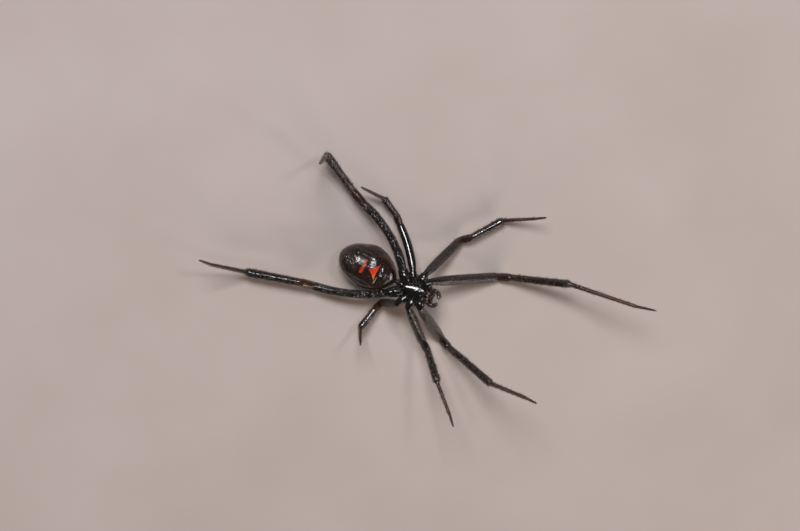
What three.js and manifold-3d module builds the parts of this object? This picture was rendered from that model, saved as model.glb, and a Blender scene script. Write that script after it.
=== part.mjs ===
// A female black widow spider at life size, in millimetres with +Z up and the floor at z = 0.
// It lies on its back, as it hangs in its web: belly up, head towards +X, its right side towards +Y,
// legs bent upwards. It rests on the back of its abdomen and on the knees of its first legs.
import * as THREE from 'three';
import { mergeVertices } from 'three/addons/utils/BufferGeometryUtils.js';
import Module from 'manifold-3d';

const wasm = await Module();
wasm.setup();

const rad = THREE.MathUtils.degToRad;

// Driving dimensions
const seam = 0.15;             // the gap where one piece meets the next
const markSeam = 0.1;          // the finer gap round the red marks
const bodyHeight = 4.50;       // of the breastplate's centre over the floor
const bodyRoll = rad(-18);     // the steep first left leg holds the left side up
const bodyPitch = rad(-16.5);  // the head is higher than the abdomen

// The body's own frame has the breastplate's centre at its origin, x towards the head, y towards
// the spider's right side and z out of the belly.

// Head and thorax: sections of the carapace from tail to head, with half widths
const sternumLength = 2.3;
const sternumWidth = 1.74;
const coreDepth = 1.2;
const carapace = [
  { along: -1.60, half: 0.66, high: -0.94, low: -1.30 },
  { along: -1.20, half: 1.08, high: -0.90, low: -1.66 },
  { along: -0.60, half: 1.38, high: -0.88, low: -1.86 },
  { along: 0.00, half: 1.45, high: -0.88, low: -1.90 },
  { along: 0.55, half: 1.30, high: -0.90, low: -1.98 },
  { along: 1.00, half: 1.04, high: -0.92, low: -2.05 },
  { along: 1.40, half: 0.84, high: -0.94, low: -1.98 },
  { along: 1.72, half: 0.66, high: -0.98, low: -1.78 },
  { along: 1.87, half: 0.40, high: -1.10, low: -1.56 },
];
const carapaceEnds = [{ along: -1.75, level: -1.08 }, { along: 1.92, level: -1.32 }];
const eyeRadius = 0.09;
// Each eye of the right side: its place along the carapace, and its angle round from the back
const eyes = [
  { along: 1.88, angle: 18 },
  { along: 1.76, angle: 52 },
  { along: 1.66, angle: 12 },
  { along: 1.60, angle: 48 },
];

// The abdomen, in its own frame at the waist, with sections from the waist to the tail
const waist = new THREE.Vector3(-1.85, 0.1, -0.95);
const abdomenPitch = rad(12);  // its tail is lifted towards the belly side
const abdomenYaw = rad(-4);    // and swings to the right
const abdomenSections = [
  { along: -0.08, half: 0.34, high: 0.26, low: -0.40 },
  { along: -0.30, half: 0.78, high: 0.50, low: -1.00 },
  { along: -0.70, half: 1.26, high: 0.76, low: -1.70 },
  { along: -1.20, half: 1.62, high: 0.94, low: -2.26 },
  { along: -1.80, half: 1.90, high: 1.05, low: -2.70 },
  { along: -2.40, half: 2.06, high: 1.10, low: -2.95 },
  { along: -2.85, half: 2.06, high: 1.12, low: -3.00 },
  { along: -3.30, half: 1.94, high: 1.10, low: -2.92 },
  { along: -3.80, half: 1.75, high: 1.06, low: -2.72 },
  { along: -4.30, half: 1.60, high: 0.98, low: -2.42 },
  { along: -4.80, half: 1.36, high: 0.82, low: -1.92 },
  { along: -5.20, half: 1.04, high: 0.60, low: -1.42 },
  { along: -5.50, half: 0.66, high: 0.32, low: -0.98 },
  { along: -5.64, half: 0.32, high: 0.04, low: -0.64 },
];
const abdomenEnds = [{ along: 0, level: -0.07 }, { along: -5.7, level: -0.32 }];

// The red hourglass, split into a triangle and a bar, each set into the belly as an inlay
const markFloor = 0.5;         // the level of the inlays' undersides
const triangle = { base: -2.12, apex: -2.92, half: 0.78 };
const bar = { front: -3.36, back: -3.64, half: 0.68 };

// The spinnerets: where the cluster stands on the abdomen, and its cones
const spinneretSpot = new THREE.Vector3(-4.72, 0, 0.72);
const spinneretTilt = rad(28); // they lean towards the tail
const spinnerets = [
  { ahead: 0.22, aside: 0.24, radius: 0.21, long: 0.62 },
  { ahead: -0.24, aside: 0.24, radius: 0.2, long: 0.6 },
  { ahead: 0.0, aside: 0.1, radius: 0.11, long: 0.5 },
];

// The legs by pair: where the coxa of the right side leaves the breastplate, the coxa's greatest
// radius, and the lengths and greatest radii of femur, patella, tibia, metatarsus and tarsus. A
// waisted femur is thinner in its middle than at its ends.
const pairs = {
  1: {
    root: [0.85, 0.66],
    coxa: 0.46,
    long: [7.7, 1.5, 6.0, 6.4, 2.1],
    thick: [0.48, 0.4, 0.37, 0.25, 0.22],
  },
  2: {
    root: [0.30, 0.84],
    coxa: 0.46,
    long: [5.0, 1.25, 3.23, 3.4, 1.35],
    thick: [0.43, 0.38, 0.37, 0.25, 0.2],
  },
  3: {
    root: [-0.42, 0.74],
    coxa: 0.39,
    long: [4.45, 1.1, 2.21, 2.7, 1.15],
    thick: [0.4, 0.36, 0.35, 0.25, 0.2],
  },
  4: {
    root: [-1.10, 0.44],
    coxa: 0.53,
    long: [7.05, 1.6, 5.0, 5.4, 1.75],
    thick: [0.43, 0.42, 0.41, 0.25, 0.22],
    waisted: true,
  },
};
const coxaLevel = -0.46;

// Each leg's pose: the hip, where its femur starts, in the body's frame, then segment by segment the
// heading from +X towards +Y and the rise above level, in degrees. The bow is how far a curved
// femur arches forwards.
const poses = {
  right_1: {
    hip: [1.10, 1.34],
    heading: [5, 36, 31, 12, 25],
    rise: [-29, 34, 34, 29, 36],
  },
  right_2: {
    hip: [0.34, 1.72],
    heading: [46, 51, 47, 41, 52],
    rise: [-39, 28, -6, 32, 41],
  },
  right_3: {
    hip: [-0.80, 1.56],
    heading: [126, 130, 142, 155, 156],
    rise: [-37, 8, 9, 33, 30],
    bow: 0.2,
  },
  right_4: {
    hip: [-1.74, 1.38],
    heading: [140, 151, 141, 137, 136],
    rise: [-10, -18, 12, 67, 67],
    bow: 0.62,
  },
  left_1: {
    hip: [1.20, -1.30],
    heading: [-46, 4, 0, 54, 55],
    rise: [-36.5, 68, 54, 63, 66],
  },
  left_2: {
    hip: [0.14, -1.70],
    heading: [-50, -19, -51, -46, -49],
    rise: [-19, 71, 54, 48, 69],
  },
  left_3: {
    hip: [-0.96, -1.74],
    heading: [-96, -147, -115, 149, -150],
    rise: [-61, 52, 24, 81, 85],
  },
  left_4: {
    hip: [-2.15, -1.15],
    heading: [-156, 166, -172, 163, 160],
    rise: [-22, 29, -4, 37, 31],
    bow: 0.52,
  },
};

// The outline of each segment: shares of its length, and of its greatest radius
const coxaOutline = [[0, 0.62], [0.35, 0.86], [0.7, 1], [1, 0.9]];
const femurOutline = [[0, 0.7], [0.1, 0.84], [0.25, 0.97], [0.45, 1], [0.7, 0.96], [1, 0.86]];
const waistedOutline = [[0, 0.84], [0.12, 0.98], [0.3, 0.92], [0.5, 0.86], [0.7, 0.87], [0.88, 0.96],
  [1, 0.9]];
const patellaOutline = [[0, 1], [0.42, 1.01], [1, 0.86]];
const tibiaOutline = [[0, 0.86], [0.5, 0.9], [0.9, 1], [1, 0.86]];
const metatarsusOutline = [[0, 1.04], [0.3, 0.94], [1, 0.84]];
const tarsusOutline = [[0, 0.95], [0.6, 0.76], [1, 0.25]];
const palpOutline = [[0, 0.94], [0.5, 1], [1, 0.94]];

const cuticle = new THREE.MeshStandardMaterial({ color: 0x0c0a0a, roughness: 0.18, metalness: 0 });
const legBlack = new THREE.MeshStandardMaterial({ color: 0x12100f, roughness: 0.3, metalness: 0 });
const footBrown = new THREE.MeshStandardMaterial({ color: 0x3a1c12, roughness: 0.4, metalness: 0 });
const palpBrown = new THREE.MeshStandardMaterial({ color: 0x2a1610, roughness: 0.35, metalness: 0 });
const markRed = new THREE.MeshStandardMaterial({ color: 0xc92a12, roughness: 0.3, metalness: 0 });

// Turns a closed geometry into a solid, with its surface moved out by grow
function solid(geometry, grow = 0) {
  const bare = geometry.clone();
  bare.deleteAttribute('normal');
  bare.deleteAttribute('uv');
  const merged = mergeVertices(bare, 1e-5);
  const corners = merged.index.array;
  const triangles = [];
  for (let i = 0; i < corners.length; i += 3) {
    const [a, b, c] = corners.slice(i, i + 3);
    if (a !== b && b !== c && c !== a) triangles.push(a, b, c);
  }
  merged.setIndex(triangles);
  const build = () => new wasm.Manifold(new wasm.Mesh({
    numProp: 3,
    vertProperties: new Float32Array(merged.attributes.position.array),
    triVerts: new Uint32Array(merged.index.array),
  }));
  if (build().volume() < 0) merged.setIndex(triangles.reverse());
  if (grow > 0) {
    merged.computeVertexNormals();
    const spots = merged.attributes.position;
    const normals = merged.attributes.normal;
    for (let i = 0; i < spots.count; i += 1) {
      spots.setXYZ(
        i,
        spots.getX(i) + grow * normals.getX(i),
        spots.getY(i) + grow * normals.getY(i),
        spots.getZ(i) + grow * normals.getZ(i),
      );
    }
  }
  return build();
}

// Joins solids into one
function join(shapes) {
  return shapes.reduce((whole, shape) => whole.add(shape));
}

// The closed pieces of a solid, largest first
function pieces(shape) {
  return shape.decompose().sort((a, b) => b.volume() - a.volume());
}

// Makes the named mesh of a solid's largest piece
function part(name, shape, material) {
  const { vertProperties, triVerts } = pieces(shape)[0].getMesh();
  const geometry = new THREE.BufferGeometry();
  geometry.setAttribute('position', new THREE.BufferAttribute(new Float32Array(vertProperties), 3));
  geometry.setIndex(new THREE.BufferAttribute(new Uint32Array(triVerts), 1));
  geometry.computeVertexNormals();
  const mesh = new THREE.Mesh(geometry, material);
  mesh.name = name;
  return mesh;
}

// Moves every corner of a geometry with a function of its place
function reshape(geometry, move) {
  const spots = geometry.attributes.position;
  const spot = new THREE.Vector3();
  for (let i = 0; i < spots.count; i += 1) {
    spot.fromBufferAttribute(spots, i);
    move(spot);
    spots.setXYZ(i, spot.x, spot.y, spot.z);
  }
  return geometry;
}

// A closed skin over a row of rings. The place function puts each point of a unit ring where it
// belongs, and every point of the rows before the first ring and after the last one in the middle.
function skin(rings, sides, place, grow = 0) {
  const profile = [new THREE.Vector2(0, -1)];
  for (let row = 0; row < rings; row += 1) profile.push(new THREE.Vector2(1, row));
  profile.push(new THREE.Vector2(0, rings));
  const turned = new THREE.LatheGeometry(profile, sides);
  return solid(reshape(turned, (spot) => place(spot, Math.round(spot.y))), grow);
}

// A tube through a row of stations, each with its place and radius
function tube(stations, { sides = 8, grow = 0 } = {}) {
  const last = stations.length - 1;
  const chords = stations.slice(1).map(({ at }, i) => at.clone().sub(stations[i].at).normalize());
  const across = new THREE.Vector3(0.3, -0.5, 0.8);
  const rings = stations.map(({ at, radius }, i) => {
    const way = chords[Math.max(i - 1, 0)].clone().add(chords[Math.min(i, last - 1)]).normalize();
    across.addScaledVector(way, -across.dot(way)).normalize();
    return { at, radius, across: across.clone(), beside: way.cross(across) };
  });
  return skin(rings.length, sides, (spot, row) => {
    const { at, radius, across: first, beside } = rings[THREE.MathUtils.clamp(row, 0, last)];
    const { x, z } = spot;
    spot.copy(at).addScaledVector(first, x * radius).addScaledVector(beside, z * radius);
  }, grow);
}

// A straight limb between two points, from shares of its length and of its greatest radius
function limb(from, to, outline, radius, options) {
  const stations = outline.map(([share, width]) => ({
    at: from.clone().lerp(to, share),
    radius: width * radius,
  }));
  return tube(stations, options);
}

// A jointed limb as one tube, from the joints and from the outline and radius of each segment, with
// a ring on both sides of each bend. The arch is the sideways reach of a bowed segment's middle.
function jointedLimb(joints, segments, options) {
  const ends = segments.map(({ outline, radius }) => [outline[0][1] * radius, outline.at(-1)[1] * radius]);
  const stations = [{ at: joints[0], radius: ends[0][0] }];
  segments.forEach(({ outline, radius, arch }, i) => {
    const [from, to, beyond] = joints.slice(i, i + 3);
    for (const [share, width] of outline.slice(1, -1)) {
      const at = from.clone().lerp(to, share);
      if (arch) at.addScaledVector(arch, 4 * share * (1 - share));
      stations.push({ at, radius: width * radius });
    }
    if (!beyond) {
      stations.push({ at: to, radius: ends[i][1] });
      return;
    }
    const [before, after] = [ends[i][1], ends[i + 1][0]];
    const into = to.clone().sub(from).normalize();
    const out = beyond.clone().sub(to).normalize();
    const clear = 1.25 * Math.max(before, after) * Math.sin(into.angleTo(out) / 2) + 0.05;
    stations.push(
      { at: to.clone().addScaledVector(into, -clear), radius: before },
      { at: to, radius: (before + after) / 2 },
      { at: to.clone().addScaledVector(out, clear), radius: after },
    );
  });
  return tube(stations, options);
}

function ball(centre, radius, sides = 7) {
  const sphere = new THREE.SphereGeometry(radius, sides, Math.round(sides * 0.6));
  return solid(sphere.translate(centre.x, centre.y, centre.z));
}

// A closed shell through oval sections along x, which closes on a point at each end. Its upper
// half is flatter for a smaller belly exponent.
function shell(sections, ends, { sides = 20, belly = 1, grow = 0 } = {}) {
  return skin(sections.length, sides, (spot, row) => {
    if (row < 0 || row === sections.length) {
      const end = ends[row < 0 ? 0 : 1];
      spot.set(end.along, 0, end.level);
      return;
    }
    const { along, half, high, low } = sections[row];
    const level = spot.z > 0 ? spot.z ** belly : spot.z;
    spot.set(along, spot.x * half, (high + low) / 2 + level * (high - low) / 2);
  }, grow);
}

// The breastplate and the block under it: a shield shape, broad in front, with a domed face
function breastplate(grow) {
  const profile = [[0, 0], [0.4, -0.02], [0.7, -0.09], [0.9, -0.22], [1, -0.44], [1, -coreDepth],
    [0, -coreDepth]].map(([width, level]) => new THREE.Vector2(width, level));
  const turned = new THREE.LatheGeometry(profile, 16);
  reshape(turned, (spot) => {
    const broad = 1 + 0.35 * spot.z;
    spot.set(spot.z * sternumLength / 2, spot.x * broad * sternumWidth / 2, spot.y);
  });
  return solid(turned, grow);
}

// The head and thorax without the eyes: carapace, breastplate, lip and the two maxillae
function prosoma(grow) {
  const lip = new THREE.SphereGeometry(1, 10, 6).scale(0.2, 0.3, 0.16).translate(1.22, 0, -0.14);
  const maxillae = [1, -1].map((side) => limb(
    new THREE.Vector3(1.0, side * 0.36, -0.45),
    new THREE.Vector3(1.52, side * 0.22, -0.2),
    [[0, 0.8], [0.5, 1], [0.85, 0.8], [1, 0.3]],
    0.22,
    { grow },
  ));
  return join([
    shell(carapace, carapaceEnds, { belly: 0.5, grow }),
    breastplate(grow),
    solid(lip, grow),
    ...maxillae,
  ]);
}

// The point of the carapace at a place along it and an angle round from the middle of its back
function carapacePoint(along, angle) {
  const next = carapace.findIndex((section) => section.along > along);
  const [near, far] = next < 0 ? [carapace.at(-1), carapace.at(-1)] : carapace.slice(next - 1, next + 1);
  const share = near === far ? 0 : (along - near.along) / (far.along - near.along);
  const mix = (key) => THREE.MathUtils.lerp(near[key], far[key], share);
  const reach = (mix('high') - mix('low')) / 2;
  return new THREE.Vector3(
    along,
    mix('half') * Math.sin(angle),
    (mix('high') + mix('low')) / 2 - reach * Math.cos(angle),
  );
}

function cephalothorax() {
  const domes = eyes.flatMap(({ along, angle }) => [1, -1].map(
    (side) => ball(carapacePoint(along, side * rad(angle)), eyeRadius, 6)));
  return part('cephalothorax', join([prosoma(0), ...domes]), cuticle);
}

// A chelicera stands out from under the front of the carapace, with its fang folded across its end
function chelicera(side) {
  const base = new THREE.Vector3(1.7, side * 0.28, -1.15);
  const end = new THREE.Vector3(1.78, side * 0.26, -0.08);
  const fangRoot = end.clone().add(new THREE.Vector3(0.04, side * 0.04, -0.1));
  const fangTip = end.clone().add(new THREE.Vector3(-0.22, side * -0.14, 0.12));
  return join([
    limb(base, end, [[0, 1], [0.45, 1], [0.85, 0.84], [1, 0.6]], 0.2),
    limb(fangRoot, fangTip, [[0, 1], [0.5, 0.8], [1, 0.25]], 0.1, { sides: 5 }),
  ]);
}

// A palp arches out from beside the mouth and curls back in front of the chelicerae, the left one
// more closely
function palp(side) {
  const spread = side > 0 ? 0.94 : 0.86;
  const joints = [[1.32, 0.42, -0.42], [1.52, 0.72, -0.66], [2.0, 0.74, -0.5], [2.24, 0.56, -0.2],
    [2.32, 0.22, 0.06]].map(([x, y, z]) => new THREE.Vector3(x, side * spread * y, z));
  const segments = [0.21, 0.22, 0.22, 0.2].map((radius, i) => ({
    outline: i < 3 ? palpOutline : tarsusOutline,
    radius,
  }));
  return jointedLimb(joints, segments);
}

function abdomenShell(grow) {
  return shell(abdomenSections, abdomenEnds, { sides: 28, grow });
}

// The prism that cuts a mark out of the belly, from a flat outline
function markPrism(outline, grow) {
  const prism = new THREE.ExtrudeGeometry(outline, { depth: 2, bevelEnabled: false, curveSegments: 5 });
  return solid(prism.translate(0, 0, markFloor), grow);
}

function triangleOutline() {
  const outline = new THREE.Shape();
  outline.moveTo(triangle.base, -triangle.half);
  outline.quadraticCurveTo(triangle.base - 0.12, 0, triangle.base, triangle.half);
  outline.quadraticCurveTo(triangle.apex + 0.35, 0.22, triangle.apex, 0.08);
  outline.lineTo(triangle.apex, -0.08);
  outline.quadraticCurveTo(triangle.apex + 0.35, -0.22, triangle.base, -triangle.half);
  return outline;
}

function barOutline() {
  return new THREE.Shape([
    new THREE.Vector2(bar.front, -bar.half),
    new THREE.Vector2(bar.front, bar.half),
    new THREE.Vector2(bar.back, bar.half),
    new THREE.Vector2(bar.back, -bar.half),
  ]);
}

// The cluster of spinnerets, a ring of short cones on a low mound, with the anal tubercle behind
function spinneretCluster() {
  const lean = new THREE.Vector3(-Math.sin(spinneretTilt), 0, Math.cos(spinneretTilt));
  const forwards = new THREE.Vector3(Math.cos(spinneretTilt), 0, Math.sin(spinneretTilt));
  const mound = new THREE.SphereGeometry(1, 14, 8).scale(0.52, 0.5, 0.3);
  mound.rotateY(-spinneretTilt).translate(spinneretSpot.x, spinneretSpot.y, spinneretSpot.z);
  const cones = spinnerets.flatMap(({ ahead, aside, radius, long }) => [1, -1].map((side) => {
    const foot = spinneretSpot.clone().addScaledVector(forwards, ahead);
    foot.y += side * aside;
    const tip = foot.clone().addScaledVector(lean, long).addScaledVector(forwards, -ahead * 0.4);
    tip.y -= side * aside * 0.4;
    return limb(foot, tip, [[0, 1], [0.7, 0.88], [1, 0.4]], radius, { sides: 6 });
  }));
  const tubercle = ball(spinneretSpot.clone().addScaledVector(forwards, -0.52), 0.22);
  return join([solid(mound), ...cones, tubercle]);
}

// A leg made whole, from the coxa to the tip, in the frame of the floor, then parted with thin
// cuts at the knee and the ankle. It gives its thigh, shin and foot, and adds its coxa, with the
// seam round it, to what the next leg keeps off.
function leg(name, bodyMatrix, keepOff) {
  const [sideName, number] = name.split('_');
  const side = sideName === 'right' ? 1 : -1;
  const { root, coxa, long, thick, waisted } = pairs[number];
  const { hip, heading, rise, bow = 0 } = poses[name];
  const inBody = (x, y) => new THREE.Vector3(x, y, coxaLevel).applyMatrix4(bodyMatrix);
  const start = inBody(root[0] * 0.8, side * root[1] * 0.8);
  const joints = [inBody(...hip)];
  const ways = heading.map((turn, i) => new THREE.Vector3(1, 0, 0).applyEuler(
    new THREE.Euler(0, -rad(rise[i]), rad(turn), 'ZYX')));
  ways.forEach((way, i) => joints.push(joints[i].clone().addScaledVector(way, long[i])));

  const arch = new THREE.Vector3(1, 0, 0).transformDirection(bodyMatrix);
  arch.addScaledVector(ways[0], -arch.dot(ways[0])).setLength(bow);
  const whole = jointedLimb([start, ...joints], [
    { outline: coxaOutline, radius: coxa },
    { outline: waisted ? waistedOutline : femurOutline, radius: thick[0], arch },
    { outline: patellaOutline, radius: thick[1] },
    { outline: tibiaOutline, radius: thick[2] },
    { outline: metatarsusOutline, radius: thick[3] },
    { outline: tarsusOutline, radius: thick[4] },
  ]);

  const cuts = [1, 3].map((i) => {
    const across = ways[i - 1].clone().add(ways[i]).normalize();
    const from = joints[i].clone().addScaledVector(across, -seam / 2);
    return limb(from, from.clone().addScaledVector(across, seam), [[0, 1], [1, 1]], 0.9);
  });
  const apart = pieces(whole.subtract(join([...cuts, ...keepOff])));
  keepOff.push(limb(start, joints[0], coxaOutline, coxa, { grow: seam }));
  return apart;
}

const body = new THREE.Group();
body.position.z = bodyHeight;
body.rotation.set(bodyRoll, bodyPitch, 0, 'YXZ');
const abdomenFrame = new THREE.Group();
abdomenFrame.position.copy(waist);
abdomenFrame.rotation.set(0, abdomenPitch, abdomenYaw);
body.add(abdomenFrame);
body.updateMatrixWorld(true);

const floor = solid(new THREE.BoxGeometry(80, 80, 4).translate(0, 0, -2));
const grownProsoma = prosoma(seam);
const grownAbdomen = abdomenShell(seam);

body.add(cephalothorax());
for (const [side, sideName] of [[1, 'right'], [-1, 'left']]) {
  const jaw = chelicera(side).subtract(grownProsoma);
  body.add(part(`chelicera_${sideName}`, jaw, cuticle));
  body.add(part(`palp_${sideName}`, palp(side).subtract(grownProsoma), palpBrown));
}

const stalk = limb(
  new THREE.Vector3(-1.0, 0.02, -0.72),
  new THREE.Vector3(-2.3, 0.14, -1.05),
  [[0, 1], [0.5, 0.9], [1, 1]],
  0.28,
);
const inBodyFrame = grownAbdomen.transform(abdomenFrame.matrix.elements);
body.add(part('pedicel', stalk.subtract(grownProsoma).subtract(inBodyFrame), cuticle));

const marks = { hourglass_front: triangleOutline(), hourglass_rear: barOutline() };
const floorInAbdomen = floor.transform(abdomenFrame.matrixWorld.clone().invert().elements);
let belly = abdomenShell(0).subtract(floorInAbdomen);
for (const [name, outline] of Object.entries(marks)) {
  abdomenFrame.add(part(name, belly.intersect(markPrism(outline, 0)), markRed));
}
for (const outline of Object.values(marks)) {
  belly = belly.subtract(markPrism(outline, markSeam * 1.3));
}
abdomenFrame.add(part('abdomen', belly, cuticle));
abdomenFrame.add(part('spinnerets', spinneretCluster().subtract(grownAbdomen), cuticle));

const spider = new THREE.Group();
spider.add(body);
const bodyMatrix = body.matrixWorld;
const keepOff = [
  grownProsoma.transform(bodyMatrix.elements),
  grownAbdomen.transform(abdomenFrame.matrixWorld.elements),
  floor,
];
for (const name of Object.keys(poses)) {
  const [thigh, shin, foot] = leg(name, bodyMatrix, keepOff);
  spider.add(part(`leg_${name}_femur`, thigh, legBlack));
  spider.add(part(`leg_${name}_tibia`, shin, legBlack));
  spider.add(part(`leg_${name}_foot`, foot, footBrown));
}

// The origin is on the floor under the middle of the whole spider
spider.updateMatrixWorld(true);
const middle = new THREE.Box3().setFromObject(spider, true).getCenter(new THREE.Vector3());
spider.position.set(-middle.x, -middle.y, 0);
spider.updateMatrixWorld(true);

export default spider;
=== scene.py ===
# %% [markdown]
# # A black widow, belly up, as it hangs in its web
# This notebook dresses a CAD model of a female black widow spider, about 10 mm long in the body.
# The solids give the size and the pose. Here they get one smooth skin, eyes, fangs, claws, hairs
# and the finishes of real cuticle. Lengths are written in millimetres, and MM makes them metres.

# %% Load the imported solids
import math
import bpy
import numpy as np
from mathutils import Matrix, Vector


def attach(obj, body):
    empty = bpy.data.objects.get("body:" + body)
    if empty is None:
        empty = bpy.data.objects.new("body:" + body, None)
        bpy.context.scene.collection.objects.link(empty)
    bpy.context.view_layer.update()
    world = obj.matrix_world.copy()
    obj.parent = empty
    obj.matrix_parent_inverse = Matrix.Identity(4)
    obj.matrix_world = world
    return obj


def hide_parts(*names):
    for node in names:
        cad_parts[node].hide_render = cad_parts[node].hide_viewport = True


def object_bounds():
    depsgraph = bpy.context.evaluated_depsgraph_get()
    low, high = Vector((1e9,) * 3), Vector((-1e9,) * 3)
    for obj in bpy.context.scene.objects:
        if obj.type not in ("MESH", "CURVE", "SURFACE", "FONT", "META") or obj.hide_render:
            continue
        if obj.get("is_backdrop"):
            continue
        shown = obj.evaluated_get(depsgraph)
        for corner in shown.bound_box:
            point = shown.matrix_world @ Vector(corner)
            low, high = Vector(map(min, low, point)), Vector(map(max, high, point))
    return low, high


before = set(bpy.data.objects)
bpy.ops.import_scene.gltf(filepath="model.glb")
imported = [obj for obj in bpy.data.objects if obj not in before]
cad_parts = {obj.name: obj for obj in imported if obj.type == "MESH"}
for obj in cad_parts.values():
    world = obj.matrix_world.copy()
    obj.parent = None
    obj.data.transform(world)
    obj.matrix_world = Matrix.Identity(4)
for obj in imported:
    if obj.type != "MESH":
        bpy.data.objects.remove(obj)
solid_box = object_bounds()
MM = 0.001
print(len(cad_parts), "solids,", [round(1000 * (b - a), 2) for a, b in zip(*solid_box)], "mm")

# %% [markdown]
# ## Two frames to work in
# A spider is two bodies on a thin waist: the head and thorax in front, the abdomen behind. Each has
# a frame of its own, with x towards the head, y towards the spider's right and z out of the belly.
# Shapes are made at the world's origin, where they are straight and easy to read, and then put in
# place with one matrix. Matrices are better than hand-typed angles here, because the abdomen's
# frame hangs on the thorax's frame.

# %% The frames of thorax and abdomen
def turned(degrees, axis):
    return Matrix.Rotation(math.radians(degrees), 4, axis)


BREASTPLATE = Vector((-0.2276, -1.18959, 4.5))
WAIST = Vector((-1.85, 0.1, -0.95))
thorax_frame = Matrix.Translation(BREASTPLATE * MM) @ turned(-16.5, "Y") @ turned(-18, "X")
abdomen_frame = thorax_frame @ Matrix.Translation(WAIST * MM) @ turned(12, "Y") @ turned(-4, "Z")
print("belly points", [round(x, 2) for x in abdomen_frame.to_3x3() @ Vector((0, 0, 1))])

# %% [markdown]
# ## The camera
# The camera comes early, so that every later piece can be judged in its view. It looks down on the
# belly through a long lens from nearly half a metre away, and is rolled a little. A long lens keeps
# the legs from growing towards the viewer. Its place is given from the middle of the breastplate.

# %% The camera
LOOK = Vector((0.2604, -0.4038, -0.8770)).normalized()
RIGHT = Vector((0.9259, 0.3619, 0.1083))
RIGHT = (RIGHT - RIGHT.dot(LOOK) * LOOK).normalized()
UP = RIGHT.cross(LOOK)
ASIDE, ABOVE, AWAY = -1.26, 2.295, 450  # from the breastplate to the lens, in millimetres
lens = bpy.data.cameras.new("long_lens")
lens.lens = 225
lens.sensor_width = 36
lens.clip_start = 0.01
lens.clip_end = 10
camera = bpy.data.objects.new("camera", lens)
bpy.context.collection.objects.link(camera)
lens_spot = BREASTPLATE + ASIDE * RIGHT + ABOVE * UP - AWAY * LOOK
camera.matrix_world = (Matrix.Translation(lens_spot * MM)
                       @ Matrix((RIGHT, UP, -LOOK)).transposed().to_4x4())
bpy.context.scene.camera = camera
print("camera at", [round(x, 3) for x in camera.matrix_world.translation])

# %% [markdown]
# ## Tools for the modelling
# Nearly all of a spider is tubes and ovals: leg segments, palps, fangs, the abdomen. Each can be
# made as by hand: add a circle, extrude it ring by ring, and turn and resize each new ring. A curve
# with a bevel would be quicker, but it pinches at sharp knees. Metaballs melt the joints together.
# The ring way keeps each joint crisp, and a Subdivision Surface modifier rounds it.
#
# That modifier also shrinks a ring of few corners, by a share that depends on their number, so
# each ring starts a little larger.

# %% Selecting, placing and finishing an object
def only(*things):
    """Selects these objects and no others. The first one becomes active."""
    if bpy.context.object and bpy.context.object.mode != "OBJECT":
        bpy.ops.object.mode_set(mode="OBJECT")
    bpy.ops.object.select_all(action="DESELECT")
    for thing in things:
        thing.select_set(True)
    bpy.context.view_layer.objects.active = things[0]
    return things[0]


def pick(thing, wanted):
    """Enters edit mode with just these points selected."""
    only(thing)
    bpy.ops.object.mode_set(mode="EDIT")
    bpy.ops.mesh.select_mode(type="VERT")
    bpy.ops.mesh.select_all(action="DESELECT")
    bpy.ops.object.mode_set(mode="OBJECT")
    thing.data.vertices.foreach_set("select", np.asarray(wanted, dtype=bool))
    bpy.ops.object.mode_set(mode="EDIT")


def gathered(items, key, width=1, kind=float):
    """Reads one value, or one row of values, from each item of a Blender list."""
    values = np.empty(width * len(items), dtype=kind)
    items.foreach_get(key, values)
    return values.reshape(-1, width) if width > 1 else values


def place(thing, matrix):
    """Moves an object, leaves the move in its mesh, and turns the lie of its hairs with it."""
    only(thing).matrix_world = matrix
    bpy.ops.object.transform_apply()
    lay = thing.data.attributes.get("lay")
    if lay:
        ways = gathered(lay.data, "vector", 3) @ np.array(matrix.to_3x3()).T
        lay.data.foreach_set("vector", ways.ravel())
    return thing


def rounded(thing, levels):
    """Adds a Subdivision Surface modifier and applies it."""
    only(thing)
    modifier = thing.modifiers.new("round", "SUBSURF")
    modifier.levels = modifier.render_levels = levels
    bpy.ops.object.modifier_apply(modifier=modifier.name)
    bpy.ops.object.shade_smooth()
    return thing


def joined(name, things):
    only(*things)
    bpy.ops.object.join()
    things[0].name = name
    return things[0]


# %% Building a tube ring by ring
def shrinkage(sides):
    """How much of its radius a ring keeps under subdivision."""
    return (4 + 2 * math.cos(2 * math.pi / sides)) / 6


def turn_ring(old, new, centre):
    """Turns the selection from one direction to another about a centre."""
    axis = old.cross(new)
    if axis.length < 1e-6:
        return
    axis.normalize()
    side = axis.orthogonal().normalized()
    bpy.ops.transform.rotate(
        value=-old.angle(new), orient_axis="Z",
        orient_matrix=Matrix((side, axis.cross(side), axis)).transposed(),
        center_override=centre)


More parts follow.
